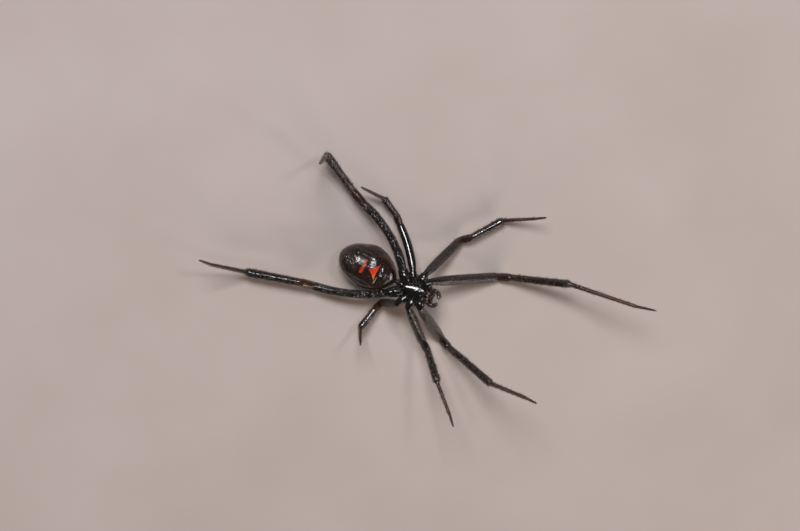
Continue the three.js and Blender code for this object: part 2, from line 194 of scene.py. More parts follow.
def loft(name, rings, sides=8, levels=2, point=False):
    """A closed tube through rings, each a (centre, direction, size), in millimetres. The size is
    a radius, or three numbers, one along each axis. A point closes the last ring to one corner."""
    rings = [(Vector(at) * MM, Vector(way).normalized(),
              Vector((size,) * 3 if isinstance(size, (int, float)) else size))
             for at, way, size in rings]
    at, way, size = rings[0]
    bpy.ops.object.select_all(action="DESELECT")
    bpy.ops.mesh.primitive_circle_add(
        vertices=sides, radius=MM / (shrinkage(sides) if levels else 1), fill_type="NGON",
        location=at, rotation=way.to_track_quat("Z", "Y").to_euler())
    thing = bpy.context.object
    thing.name = name
    bpy.ops.object.transform_apply()
    bpy.ops.object.mode_set(mode="EDIT")
    bpy.ops.mesh.select_all(action="SELECT")
    bpy.ops.transform.resize(value=size, center_override=at)
    for (at0, way0, size0), (at, way, size) in zip(rings, rings[1:]):
        bpy.ops.mesh.extrude_region_move(TRANSFORM_OT_translate={"value": at - at0})
        turn_ring(way0, way, at)
        bpy.ops.transform.resize(value=[b / a for a, b in zip(size0, size)], center_override=at)
    if point:
        bpy.ops.mesh.merge(type="CENTER")
    bpy.ops.mesh.select_all(action="SELECT")
    bpy.ops.mesh.normals_make_consistent(inside=False)
    bpy.ops.object.mode_set(mode="OBJECT")
    return rounded(thing, levels) if levels else thing


# %% [markdown]
# ## Notes on the skin
# The hairs and the colours come later, and they need to know the way along each limb and how far
# along it they are. So each piece carries notes from the start, as attributes: `lay`, the way its
# hairs lie, and `reach`, how far along the limb a point is. Four more follow once the shapes stand:
# `tan`, how red-brown the cuticle is, `dull`, how matt, the grain, how rough with sockets and how
# many sockets get a painted glint, and `coat`, how thickly hairs grow. Vertex groups could hold the
# numbers, but an attribute also holds directions, and a material can read it by name.

# %% Writing the notes
def corners(thing):
    """The mesh's points, one row each, in millimetres."""
    return gathered(thing.data.vertices, "co", 3) / MM


def note(thing, name, values):
    """Writes one number or one direction per point."""
    values = np.asarray(values, dtype=np.float32)
    kind, key = ("FLOAT_VECTOR", "vector") if values.ndim == 2 else ("FLOAT", "value")
    old = thing.data.attributes.get(name)
    if old:
        thing.data.attributes.remove(old)
    thing.data.attributes.new(name, kind, "POINT").data.foreach_set(key, values.ravel())


def lay_all(thing, way=(1.0, 0.0, 0.0)):
    """Notes the same lie for all the hairs of a piece."""
    note(thing, "lay", np.tile(tuple(way), (len(thing.data.vertices), 1)))


def along(spots, line, marks):
    """For each point, the mark and the direction of the nearest place on a line."""
    line = np.array([tuple(at) for at in line])
    steps = line[1:] - line[:-1]
    best = np.full(len(spots), np.inf)
    mark = np.zeros(len(spots))
    lay = np.zeros((len(spots), 3))
    for start, step, low, high in zip(line, steps, marks, marks[1:]):
        length = np.dot(step, step)
        if length < 1e-12:
            continue
        share = np.clip((spots - start) @ step / length, 0, 1)
        far = np.linalg.norm(spots - start - share[:, None] * step, axis=1)
        near = far < best
        best[near] = far[near]
        mark[near] = (low + share * (high - low))[near]
        lay[near] = step / math.sqrt(length)
    return mark, lay


# %% [markdown]
# ## The legs
# A spider's leg has seven parts: a short coxa and trochanter at the body, the long femur, the
# knee-like patella, the tibia, the thin metatarsus and the tarsus with the claws. Each hard segment
# swells a little, ends in a rim, and meets the next one in a groove of soft skin.
#
# The eight legs differ only in their tables, so one function makes them all. It gives each bend
# five rings that turn a quarter of the way each, which keeps the inside of a sharp knee open.
# Lengths and directions repeat the values of the CAD source. The limbs are a hair's depth thinner
# than there, and the feet thinner still, because a solid can't be as thin as a real foot.

# %% The tables of the legs
# For each pair: the leg's root, the lengths of its five segments, and the radii from the coxa on
ROOTS = {1: (0.85, 0.66), 2: (0.30, 0.84), 3: (-0.42, 0.74), 4: (-1.10, 0.44)}
LENGTHS = {
    1: (7.7, 1.5, 6.0, 6.4, 2.1), 2: (5.0, 1.25, 3.23, 3.4, 1.35),
    3: (4.45, 1.1, 2.21, 2.7, 1.15), 4: (7.05, 1.6, 5.0, 5.4, 1.75)}
GIRTHS = {
    1: (0.44, 0.465, 0.39, 0.36, 0.2, 0.125), 2: (0.44, 0.415, 0.37, 0.36, 0.17, 0.12),
    3: (0.375, 0.385, 0.35, 0.34, 0.165, 0.12), 4: (0.51, 0.42, 0.41, 0.4, 0.19, 0.13)}
COXA_LEVEL = -0.46
# For each leg: its hip, the headings and the rises of the five segments in degrees, and the bow of
# its femur in millimetres
POSES = {
    "right_1": ((1.10, 1.34), (5, 36, 31, 12, 25), (-29, 34, 34, 29, 36), 0),
    "right_2": ((0.34, 1.72), (46, 51, 47, 41, 52), (-39, 28, -6, 32, 41), 0),
    "right_3": ((-0.80, 1.56), (126, 130, 142, 155, 156), (-37, 8, 9, 33, 30), 0.2),
    "right_4": ((-1.74, 1.38), (140, 151, 141, 137, 136), (-10, -18, 12, 67, 67), 0.62),
    "left_1": ((1.20, -1.30), (-46, 4, 0, 54, 55), (-36.5, 68, 54, 63, 66), 0),
    "left_2": ((0.14, -1.70), (-50, -19, -51, -46, -49), (-19, 71, 54, 48, 69), 0),
    "left_3": ((-0.96, -1.74), (-96, -147, -115, 149, -150), (-61, 52, 24, 81, 85), 0),
    "left_4": ((-2.15, -1.15), (-156, 166, -172, 163, 160), (-22, 29, -4, 37, 31), 0.52)}

# The outline of each segment: shares of its length and of its greatest radius
COXA = ((0, 0.62), (0.16, 0.82), (0.34, 0.96), (0.5, 1.02), (0.62, 0.99), (0.7, 0.9), (0.78, 0.94),
        (0.9, 0.95), (1, 0.9))
FEMUR = ((0, 0.68), (0.05, 0.76), (0.12, 0.86), (0.22, 0.95), (0.36, 1.0), (0.52, 1.0),
         (0.68, 0.975), (0.84, 0.94), (1, 0.93))
WAISTED = ((0, 0.84), (0.05, 0.93), (0.12, 0.98), (0.22, 0.96), (0.36, 0.9), (0.52, 0.86),
           (0.7, 0.87), (0.86, 0.96), (1, 0.93))
STRAIGHT = ((0, 0.8), (0.05, 0.86), (0.12, 0.94), (0.22, 0.99), (0.36, 1.0), (0.52, 1.0),
            (0.68, 0.98), (0.84, 0.95), (1, 0.93))
PATELLA = ((0, 0.93), (0.4, 1.02), (0.7, 1.0), (1, 0.95))
TIBIA = ((0, 0.86), (0.14, 0.87), (0.32, 0.87), (0.5, 0.9), (0.68, 0.94), (0.84, 0.99), (1, 0.98))
METATARSUS = ((0, 1.04), (0.12, 1.02), (0.35, 0.93), (0.6, 0.85), (0.85, 0.81), (1, 0.84))
TARSUS = ((0, 0.98), (0.25, 0.98), (0.5, 0.88), (0.75, 0.74), (0.92, 0.58), (1, 0.4))
print(len(POSES), "legs of", len(LENGTHS[1]) + 1, "segments")


# %% The rings of a jointed limb
BEND_ROOM, MOST_ROOM = 0.85, 0.42  # the length a bend takes: of its width, and of a segment at most
APART = 0.03  # the least distance, in shares of a segment, between a ring and a bend


def limb_rings(joints, outlines, radii, arch=None, arched=None, snug=0.12):
    """Rings from joint to joint, with five at each bend. One segment can be arched."""
    chords = [b - a for a, b in zip(joints, joints[1:])]

    def spot(i, share):
        at = joints[i] + share * chords[i]
        return at + 4 * share * (1 - share) * arch if i == arched else at

    def way(i, share):
        step = chords[i] + 4 * (1 - 2 * share) * arch if i == arched else chords[i]
        return step.normalized()

    def girth(i, share):
        shares, widths = zip(*outlines[i])
        return radii[i] * float(np.interp(share, shares, widths))

    last = len(chords) - 1
    room = [0.0]
    for i in range(last):
        bend = way(i, 1).angle(way(i + 1, 0))
        wide = max(girth(i, 1), girth(i + 1, 0))
        needed = max(snug, BEND_ROOM * wide * math.tan(bend / 2))
        room.append(min(needed, MOST_ROOM * chords[i + 1].length))
    room.append(0.0)

    rings, marks = [(spot(0, 0), way(0, 0), girth(0, 0))], [0.0]
    for i in range(last + 1):
        low = room[i] / chords[i].length
        high = 1 - room[i + 1] / chords[i].length
        for share, _ in outlines[i][1:-1]:
            if low + APART < share < high - APART:
                rings.append((spot(i, share), way(i, share), girth(i, share)))
                marks.append(i + share)
        if i == last:
            rings.append((spot(i, 1), way(i, 1), girth(i, 1)))
            marks.append(i + 1.0)
            break
        into, out = way(i, 1), way(i + 1, 0)
        before, after = girth(i, 1), girth(i + 1, 0)
        c = room[i + 1]
        back, ahead = c / chords[i].length, c / chords[i + 1].length
        for k, groove in ((0, 1.0), (1, 0.97), (2, 0.86), (3, 0.95), (4, 1.0)):
            turn = into.slerp(out, k / 4)
            size = before + (after - before) * k / 4
            if k < 2:
                at, mark = spot(i, 1 - back * (1 - k / 2)), i + 1 - back * (1 - k / 2)
            else:
                at, mark = spot(i + 1, ahead * (k / 2 - 1)), i + 1 + ahead * (k / 2 - 1)
            rings.append((at, turn, size * groove))
            marks.append(mark)
    return rings, marks


def limb(name, rings, marks, sides=8):
    """A tube through rings, with notes on how far along it each point is and which way is on."""
    thing = loft(name, rings, sides)
    reach, lay = along(corners(thing), [at for at, _, _ in rings], marks)
    note(thing, "lay", lay)
    note(thing, "reach", reach)
    return thing


# %% Making the eight legs
INSET = 0.8  # the leg starts inside the body, at this share of the way to its root


def in_millimetres(matrix, spot):
    return (matrix @ (Vector(spot) * MM)) / MM


def tilted(heading, rise):
    """The direction with this heading from +X and this rise above the floor, in degrees."""
    heading, rise = math.radians(heading), math.radians(rise)
    level = math.cos(rise)
    return Vector((level * math.cos(heading), level * math.sin(heading), math.sin(rise)))


def leg_joints(name):
    side, number = (1 if name.startswith("right") else -1), int(name[-1])
    hip, headings, rises, bow = POSES[name]
    root = ROOTS[number]
    joints = [in_millimetres(thorax_frame, (INSET * root[0], side * INSET * root[1], COXA_LEVEL)),
              in_millimetres(thorax_frame, (*hip, COXA_LEVEL))]
    ways = [tilted(h, r) for h, r in zip(headings, rises)]
    for way, long in zip(ways, LENGTHS[number]):
        joints.append(joints[-1] + long * way)
    forwards = thorax_frame.to_3x3() @ Vector((1, 0, 0))
    arch = (forwards - forwards.dot(ways[0]) * ways[0]).normalized() * bow
    return joints, arch


def make_leg(name):
    joints, arch = leg_joints(name)
    femur = {"3": STRAIGHT, "4": WAISTED}.get(name[-1], FEMUR)
    outlines = (COXA, femur, PATELLA, TIBIA, METATARSUS, TARSUS)
    rings, marks = limb_rings(joints, outlines, GIRTHS[int(name[-1])], arch, 1)
    return limb("leg_" + name, rings, marks), rings


legs = {name: make_leg(name) for name in POSES}
print(sum(len(leg.data.polygons) for leg, _ in legs.values()), "faces in the legs")


# %% [markdown]
# ## The thorax
# Seen from the belly, the thorax is a glossy shield, the breastplate, with the coxae standing round
# it and a small lip and two maxillae at its front. The back is the carapace: a broad oval with a
# raised head, a dimple in the middle and shallow grooves that run from it to the legs. These are
# ovals through sections along the body, so the ring tool serves again, with three sizes per ring.

# %% An oval body through sections along it
TIP = 0.16  # the small ring that closes an end, as a share of its neighbour


def oval(name, sections, ends, sides, levels):
    """A closed body along x. Each section is (place along x, half width, top, underside), and
    each end is (place along x, level)."""
    def cap(end, section):
        at, level = end
        _, half, top, under = section
        rise = TIP * (top - under) / 2
        return at, TIP * half, level + rise, level - rise

    rows = [cap(ends[0], sections[0]), *sections, cap(ends[1], sections[-1])]
    rings = [((x, 0, (top + under) / 2), (-1, 0, 0), (half, half, (top - under) / 2))
             for x, half, top, under in rows]
    return loft(name, rings, sides, levels)


# %% The carapace
CARAPACE = (
    (1.87, 0.40, -1.10, -1.56), (1.72, 0.64, -0.98, -1.77), (1.40, 0.82, -0.94, -1.96),
    (1.00, 1.01, -0.92, -2.02), (0.55, 1.27, -0.90, -1.95), (0.00, 1.42, -0.88, -1.87),
    (-0.60, 1.35, -0.88, -1.83), (-1.20, 1.06, -0.90, -1.64), (-1.60, 0.64, -0.94, -1.28))
carapace = oval("carapace", CARAPACE, ((1.92, -1.32), (-1.74, -1.08)), 20, 2)
print(len(carapace.data.polygons), "faces in the carapace")


# %% [markdown]
# ### Dents and grooves
# The dimple, the grooves and many marks on the abdomen are too shallow to build from rings.
# Sculpting by hand would suit them, but can't be written down. A Displace modifier can: a vertex
# group says how strongly each point is moved, and the modifier moves it along its normal.

# %% Sinking and raising the surface
LEAST = 0.001  # points that would move by less than this share of the most stay where they are


def relief(thing, depths):
    """Moves each point along its normal by its own depth in millimetres: below zero is a dent."""
    only(thing)
    for sign in (1, -1):
        amount = np.clip(sign * np.asarray(depths), 0, None)
        most = amount.max()
        if most < 1e-6:
            continue
        group = thing.vertex_groups.new(name="relief")
        for i in np.nonzero(amount > LEAST * most)[0]:
            group.add([int(i)], float(amount[i] / most), "REPLACE")
        modifier = thing.modifiers.new("relief", "DISPLACE")
        modifier.vertex_group = group.name
        modifier.mid_level = 0
        modifier.strength = sign * most * MM
        bpy.ops.object.modifier_apply(modifier=modifier.name)
        thing.vertex_groups.remove(thing.vertex_groups[0])
    return thing


def pit(spots, centre, spread, depth):
    """A round hollow, or a bump where the depth is above zero."""
    gap = (spots - np.array(centre)) / np.array(spread)
    return depth * np.exp(-(gap ** 2).sum(1))


def groove(spots, start, end, spread, depth):
    """A hollow along a line, or a ridge. It fades to half its depth at the far end."""
    start, end = np.array(start, float), np.array(end, float)
    step = end - start
    share = np.clip((spots - start) @ step / (step @ step), 0, 1)
    gap = np.linalg.norm(spots - start - share[:, None] * step, axis=1) / spread
    return depth * np.exp(-gap ** 2) * (1 - 0.5 * share)


# %% Carving the carapace
spots = corners(carapace)
carved = pit(spots, (-0.45, 0, -1.9), (0.22, 0.14, 0.4), -0.13)
for side in (1, -1):
    for x, y in ((0.85, 0.95), (0.2, 1.25), (-0.45, 1.25), (-1.05, 0.85)):
        carved += groove(spots, (-0.3 + 0.2 * x, 0.25 * side * y, -1.88), (x, side * y, -1.45),
                         0.09, -0.06)
    carved += groove(spots, (-0.15, 0.16 * side, -1.9), (1.15, 0.86 * side, -1.5), 0.1, -0.07)
relief(carapace, carved)
lay_all(carapace)
print("deepest dent", round(float(-carved.min()), 3), "mm")

# %% The breastplate, with a knob at the foot of each leg
BREAST = (
    (1.06, 0.52, -0.15, -0.8), (0.93, 0.73, -0.06, -0.9), (0.70, 0.85, -0.02, -0.95),
    (0.36, 0.89, 0.0, -1.0), (0.0, 0.83, 0.0, -1.0), (-0.36, 0.72, 0.0, -0.98),
    (-0.70, 0.54, 0.0, -0.9), (-0.95, 0.37, -0.02, -0.8), (-1.09, 0.22, -0.1, -0.7))
KNOBS = ((0.72, 0.75), (0.16, 0.83), (-0.34, 0.66), (-0.82, 0.38))
breastplate = oval("breastplate", BREAST, ((1.12, -0.45), (-1.14, -0.45)), 16, 2)
spots = corners(breastplate)
knobs = sum(pit(spots, (x, side * y, -0.3), (0.09, 0.08, 0.3), 0.05)
            for side in (1, -1) for x, y in KNOBS)
relief(breastplate, knobs)
lay_all(breastplate)
print("breastplate", [round(1000 * x, 2) for x in breastplate.dimensions], "mm")

# %% The lip and the maxillae in front of it
lip = oval("lip", ((1.38, 0.19, -0.03, -0.34), (1.25, 0.28, 0.03, -0.4), (1.12, 0.29, 0.0, -0.4)),
           ((1.44, -0.2), (1.02, -0.25)), 12, 2)
lay_all(lip)


def straight_limb(name, start, end, outline, radius):
    """A round limb between two points. The outline is in shares of its length and its radius."""
    start, end = Vector(start), Vector(end)
    rings = [(start.lerp(end, share), end - start, width * radius) for share, width in outline]
    return limb(name, rings, [share for share, _ in outline])


MAXILLA = ((0, 0.75), (0.3, 0.95), (0.6, 1.0), (0.85, 0.85), (1, 0.5))
maxillae = [straight_limb("maxilla", (1.0, 0.36 * side, -0.42), (1.52, 0.2 * side, -0.17),
                          MAXILLA, 0.2) for side in (1, -1)]
print(1 + len(maxillae), "mouth parts")

# %% [markdown]
# ### Jaws, palps and waist
# The chelicerae hang under the front of the head and carry the fangs. The palps beside them are
# small legs of four parts that curl round the mouth. The waist is a short stalk. The limb tool
# that made the legs makes these as well, only thicker for their length.

# %% Jaws, palps and waist
JAW = ((0, 0.9), (0.2, 0.98), (0.45, 1.0), (0.7, 0.94), (0.88, 0.78), (1, 0.45))
chelicerae = [straight_limb("chelicera", (1.7, 0.27 * side, -1.2), (1.78, 0.25 * side, -0.07),
                            JAW, 0.2) for side in (1, -1)]

PALP_PART = ((0, 0.9), (0.5, 1.05), (1, 0.9))
PALP_END = ((0, 0.9), (0.35, 1.02), (0.7, 0.82), (1, 0.35))
PALP_JOINTS = ((1.32, 0.42, -0.42), (1.52, 0.72, -0.66), (2.0, 0.74, -0.5), (2.24, 0.56, -0.2),
               (2.32, 0.22, 0.06))
palps = []
for side, spread in ((1, 0.94), (-1, 0.86)):
    joints = [Vector((x, side * spread * y, z)) for x, y, z in PALP_JOINTS]
    rings, marks = limb_rings(joints, (PALP_PART,) * 3 + (PALP_END,), (0.2, 0.21, 0.21, 0.195),
                              snug=0.05)
    palps.append(limb("palp", rings, marks, 7))

waist = straight_limb("waist", (-1.0, 0.02, -0.72), (-2.3, 0.14, -1.05),
                      ((0, 1), (0.3, 1), (0.5, 0.86), (0.7, 0.95), (1, 1)), 0.24)
print(len(chelicerae), "jaws,", len(palps), "palps")


# %% [markdown]
# ## The abdomen
# The abdomen is soft skin over fluid: smooth and glossy, but never a perfect egg. On the belly lie
# two smooth lung covers, a furrow behind them, low ridges along the sides, and a ring of creases
# round the spinnerets. On the back, muscles pull small pits into the skin. The ovals give the bulk,
# and the relief tool adds the rest. A cloth or sculpt would also do, but pits sit at known places.

# %% The abdomen's bulk
ABDOMEN = (
    (-0.08, 0.33, 0.25, -0.39), (-0.30, 0.76, 0.48, -0.98), (-0.70, 1.24, 0.74, -1.67),
    (-1.20, 1.60, 0.92, -2.23), (-1.80, 1.88, 1.03, -2.67), (-2.40, 2.04, 1.08, -2.93),
    (-2.85, 2.04, 1.10, -2.98), (-3.30, 1.93, 1.08, -2.90), (-3.80, 1.74, 1.04, -2.70),
    (-4.30, 1.58, 0.96, -2.40), (-4.80, 1.34, 0.80, -1.90), (-5.20, 1.02, 0.58, -1.40),
    (-5.50, 0.64, 0.30, -0.96))
abdomen = oval("abdomen", ABDOMEN, ((0.0, -0.07), (-5.68, -0.32)), 20, 3)
print(len(abdomen.data.polygons), "faces in the abdomen")

# %% Furrows, lung covers, ridges and pits
SPINNERETS = Vector((-4.72, 0, 0.72))
spots = corners(abdomen)
x, y, z = spots.T
# A swelling in front of the furrow, with a row of beads behind it
carved = pit(spots, (-1.42, 0, 0.98), (0.15, 0.24, 0.3), 0.06)
for aside, high in ((0.52, 0.04), (0.3, 0.05), (0.06, 0.04), (-0.2, 0.05), (-0.46, 0.04)):
    carved += pit(spots, (-1.62 - 0.5 * aside ** 2, aside, 1.0), (0.06, 0.07, 0.4), high)
# Lung covers, the furrow in two parts, and the pits on the back
BACK_PITS = ((-1.5, 0.5, -2.4, 0.05), (-2.35, 0.62, -2.8, 0.08), (-3.2, 0.55, -2.8, 0.07),
             (-3.95, 0.42, -2.55, 0.05))
for side in (1, -1):
    carved += pit(spots, (-1.0, 0.62 * side, 0.75), (0.34, 0.3, 0.4), 0.05)
    carved += groove(spots, (-1.72, 0, 1.0), (-1.88, 0.55 * side, 0.95), 0.07, -0.07)
    carved += groove(spots, (-1.88, 0.55 * side, 0.95), (-1.8, 1.25 * side, 0.65), 0.08, -0.06)
    for at, aside, level, deep in BACK_PITS:
        carved += pit(spots, (at, aside * side, level), (0.13, 0.11, 0.5), -deep)
# A ridge between two troughs along each side, a rise in front and a hollow in the middle
for side in (1, -1):
    carved += groove(spots, (-4.6, 1.08 * side, 0.3), (-2.8, 1.12 * side, 0.75), 0.14, 0.06)
    carved += groove(spots, (-4.5, 1.36 * side, 0.1), (-2.8, 1.38 * side, 0.55), 0.13, -0.06)
    carved += groove(spots, (-4.4, 0.82 * side, 0.6), (-3.0, 0.84 * side, 0.9), 0.13, -0.05)
    carved += pit(spots, (-2.45, 1.08 * side, 0.9), (0.42, 0.36, 0.5), 0.06)
    carved += pit(spots, (-3.05, 0.45 * side, 1.0), (0.34, 0.3, 0.5), -0.08)
carved += pit(spots, (-3.55, 1.8, -0.35), (0.45, 0.4, 0.6), -0.05)

# %% Creases round the spinnerets
belly = np.clip(z / 0.5, 0, 1)
angle = np.arctan2(y, x - SPINNERETS.x)
ring = np.linalg.norm(spots - np.array(SPINNERETS), axis=1)
ring = ring + 0.05 * np.sin(3 * angle) + 0.03 * np.sin(7 * angle)
for far, wide, deep in ((0.72, 0.05, 0.03), (0.9, 0.05, 0.022), (1.08, 0.06, 0.012)):
    uneven = 0.5 + 0.5 * np.sin((4 + 9 * far) * angle + 20 * far)
    carved -= belly * deep * np.exp(-((ring - far) / wide) ** 2) * (0.3 + uneven)
relief(abdomen, carved)
toward_tail = np.stack([-np.ones(len(spots)), 0.25 * y / 2, np.zeros(len(spots))], axis=1)
note(abdomen, "lay", toward_tail)
print("deepest", round(float(-carved.min()), 3), "mm")

# %% The spinnerets on their mound
SLANT = math.radians(28)
LEAN = Vector((-math.sin(SLANT), 0, math.cos(SLANT)))
AHEAD = Vector((math.cos(SLANT), 0, math.sin(SLANT)))
CONE = ((0, 1.0), (0.35, 1.0), (0.6, 0.9), (0.68, 0.78), (0.8, 0.76), (0.93, 0.6), (1, 0.3))
MOUND = ((0, 0.5), (0.1, 0.49), (0.19, 0.43), (0.26, 0.3))
TUBERCLE = ((0, 0.9), (0.5, 1.0), (0.8, 0.85), (0.95, 0.5), (1, 0.25))
# Each pair: how far ahead and aside it stands, its radius and its length
PAIRS = ((0.22, 0.23, 0.19, 0.61), (-0.24, 0.23, 0.18, 0.59), (0, 0.1, 0.1, 0.5))
mound = loft("mound", [(SPINNERETS + h * LEAN, LEAN, r) for h, r in MOUND], 16)
lay_all(mound, LEAN)
cones = []
for ahead, aside, radius, long in PAIRS:
    for side in (1, -1):
        foot = SPINNERETS + ahead * AHEAD + Vector((0, side * aside, 0))
        tip = foot + long * LEAN - 0.4 * ahead * AHEAD - Vector((0, 0.4 * side * aside, 0))
        cones.append(straight_limb("spinneret", foot, tip, CONE, radius))
foot = SPINNERETS - 0.52 * AHEAD
tubercle = straight_limb("tubercle", foot - 0.2 * LEAN, foot + 0.2 * LEAN, TUBERCLE, 0.2)
print(len(cones), "spinnerets")

# %% Putting thorax and abdomen in place
for piece in (carapace, breastplate, lip, *maxillae, *chelicerae, *palps, waist):
    place(piece, thorax_frame)
for piece in (abdomen, mound, *cones, tubercle):
    place(piece, abdomen_frame)


# %% [markdown]
# ## Where the cuticle is brown, dull or grainy, and where hairs stand
# A black widow isn't black all over. Its legs turn red-brown at the joints and on the thin feet,
# and go black again at the very tips, and its mouth parts are dark red-brown. Some segments shine
# like glass, others are dull or grainy with sockets, and where they are grainy a few sockets carry
# a painted glint. These looks follow the limb, so notes along it suit them better than a pattern in
# space: `tan`, `dull`, the grain with its painted glints, and `coat` for the hairs.

# %% The looks of the legs
# For femur, patella, tibia and foot: the brown, the dullness, the grain and painted glints, the
# hairs
LOOKS = {"tan": (0.16, 0.25, 0.16, 0.55), "dull": (0.35, 0.12, 0.2, 0.4),
         "grain_and_glint": (0.6, 0.3, 0.5, 0.5), "coat": (1.0, 0.5, 1.1, 1.5)}
OWN_LOOKS = {
    "right_1": {"tan": (0.22, 0.3, 0.2, 0.6), "dull": (0.36, 0.2, 0.2, 0.35)},
    "right_2": {"tan": (0.2, 0.3, 0.2, 0.6), "dull": (0.55, 0.1, 0.0, 0.4),
                "grain_and_glint": (0.15, 0.3, 0.1, 0.5)},
    "right_3": {"tan": (0.08, 0.25, 0.15, 0.45), "dull": (0.0, 0.2, 0.15, 0.4),
                "grain_and_glint": (0.05, 0.2, 0.3, 0.4), "coat": (0.35, 0.5, 0.8, 1.4)},
    "right_4": {"tan": (0.1, 0.35, 0.12, 0.4), "dull": (0.1, 0.0, 0.12, 0.4),
                "grain_and_glint": (1.0, 0.1, 0.6, 0.4)},
    "left_1": {"tan": (0.12, 0.2, 0.2, 0.6), "dull": (0.22, 0.15, 0.2, 0.35)},
    "left_2": {"tan": (0.08, 0.2, 0.14, 0.55), "dull": (0.15, 0.1, 0.12, 0.35),
               "grain_and_glint": (0.6, 0.4, 0.5, 0.4)},
    "left_3": {"tan": (0.14, 0.5, 0.16, 0.4), "dull": (0.7, 0.1, 0.05, 0.4),
               "grain_and_glint": (0.1, 0.2, 0.3, 0.4)},
    "left_4": {"tan": (0.1, 0.45, 0.1, 0.4), "dull": (0.1, 0.0, 0.0, 0.4),
               "grain_and_glint": (1.0, 0.1, 0.3, 0.4)}}
COXAE = {"tan": 0.08, "dull": 0.0, "grain_and_glint": 0.2, "coat": 0.25}
JOINT_BROWN = 0.15  # how much browner a segment is where it ends
TIP_BROWN = 0.15    # the black tip of the foot
print("brown of the femora:", [{**LOOKS, **OWN_LOOKS[name]}["tan"][0] for name in legs])


# %% Writing the looks along the legs
def read(thing, name):
    return gathered(thing.data.attributes[name].data, "value")


# Along a leg, 0 to 1 is the coxa, 1 to 2 the femur, and so on to 6 at the end of the tarsus
PLACES = (0, 0.9, 1.15, 1.8, 2.05, 2.4, 2.85, 3.12, 3.4, 3.9, 4.06, 4.5, 5.4, 5.75, 6)
for name, (leg, _) in legs.items():
    reach = read(leg, "reach")
    looks = {**LOOKS, **OWN_LOOKS[name]}
    for key, (femur, patella, tibia, foot) in looks.items():
        joint, tip = (JOINT_BROWN, TIP_BROWN) if key == "tan" else (0, foot)
        values = (COXAE[key], COXAE[key], femur, femur, femur + joint, patella, patella,
                  tibia + joint, tibia, tibia, tibia + joint, foot, foot, tip, tip)
        note(leg, key, np.interp(reach, PLACES, values))
print("notes along", len(legs), "legs")

# %% Writing the looks of the body
BODY_LOOKS = (
    ((carapace, breastplate), (0.04, 0.0, 0.4, 0.12)), ((lip,), (0.1, 0.0, 0.2, 0.3)),
    (maxillae, (0.4, 0.3, 0.3, 0.5)), (chelicerae, (0.3, 0.2, 0.3, 0.4)),
    (palps, (0.3, 0.15, 0.5, 1.2)), ((waist,), (0.05, 0.2, 0.3, 0)),
    ((abdomen,), (0.22, 0.1, 0.05, 0.3)), ((mound,), (0.2, 0.2, 0.5, 0.6)),
    ((*cones, tubercle), (0.3, 0.2, 0.5, 1.5)))
for things, values in BODY_LOOKS:
    for thing in things:
        for key, value in zip(LOOKS, values):
            note(thing, key, np.full(len(thing.data.vertices), value))

# Brown blotches on the abdomen: along x, aside, level, size. And a dull patch behind the mark.
BLOTCHES = ((-1.97, 1.53, 0.3, 0.3), (-1.35, 1.32, 0.3, 0.26), (-0.96, 1.02, 0.41, 0.24),
            (-4.3, 0.45, 0.9, 0.3))
spots = corners(abdomen)
own = (spots * MM - np.array(abdomen_frame.translation)) @ np.array(abdomen_frame.to_3x3()) / MM
brown = np.full(len(own), 0.22)
for at, aside, level, wide in BLOTCHES:
    for side in (1, -1):
        brown += pit(own, (at, side * aside, level), (wide, 0.7 * wide, 0.4), 0.42)
note(abdomen, "tan", brown)
note(abdomen, "dull", 0.1 + pit(own, (-3.85, 0.4, 0.9), (0.4, 0.45, 0.5), 0.45))
print(len(BODY_LOOKS), "kinds of body parts have their notes")

# %% [markdown]
# ## Cuticle
# Cuticle is a hard clear gloss over dark pigment. Under the gloss the colour drifts between black
# and red-brown. On top the surface is finely netted, and each hair stands in a small raised socket.
# A few sockets get a pale dot painted into the colour, a painted glint for the sparkle on the hind
# legs. The drift could be painted, but noise does the same and repeats nowhere. All this relief is
# Bump, not geometry, because it is a tenth of a millimetre high at most. The abdomen's skin is
# softer, so it gets broad, shallow folds as well.

# %% A small set of tools for materials
class Finish:
    """A material with a Principled shader, and short ways to add nodes to it."""

    def __init__(self, name):
        self.material = bpy.data.materials.new(name)
        self.material.use_nodes = True
        self.tree = self.material.node_tree
        self.shader = self.tree.nodes["Principled BSDF"]

    def node(self, kind, **settings):
        """Adds a node. Settings that name a socket with a link or a value go to that socket."""
        made = self.tree.nodes.new("ShaderNode" + kind)
        for key, value in settings.items():
            if hasattr(made, key):
                setattr(made, key, value)
            else:
                self.feed(made.inputs[key.replace("_", " ").strip()], value)
        return made

    def feed(self, socket, value):
        if isinstance(value, bpy.types.NodeSocket):
            self.tree.links.new(value, socket)
        else:
            socket.default_value = value

    def set(self, **values):
        """Feeds the shader's own sockets."""
        for key, value in values.items():
            self.feed(self.shader.inputs[key.replace("_", " ")], value)

    def ramp(self, source, stops):
        made = self.node("ValToRGB", Fac=source)
        ramp = made.color_ramp
        while len(ramp.elements) < len(stops):
            ramp.elements.new(0.5)
        for element, (at, colour) in zip(ramp.elements, stops):
            element.position = at
            element.color = (*(colour if isinstance(colour, tuple) else (colour,) * 3), 1)
        return made.outputs["Color"]

    def maths(self, operation, a, b=0.0, c=0.0):
        made = self.tree.nodes.new("ShaderNodeMath")
        made.operation = operation
        for socket, value in zip(made.inputs, (a, b, c)):
            self.feed(socket, value)
        return made.outputs[0]

    def blend(self, share, low, high):
        """Goes from one colour to another by a share."""
        made = self.node("Mix", data_type="RGBA")
        factor, a, b = (made.inputs[k] for k in (0, 6, 7))
        for socket, value in ((factor, share), (a, low), (b, high)):
            self.feed(socket, value)
        return made.outputs[2]

    def noise(self, scale, detail=3.0, roughness=0.5, vector=None):
        spots = vector or self.node("TexCoord").outputs["Object"]
        return self.node("TexNoise", Vector=spots, Scale=scale, Detail=detail,
                         Roughness=roughness).outputs["Fac"]


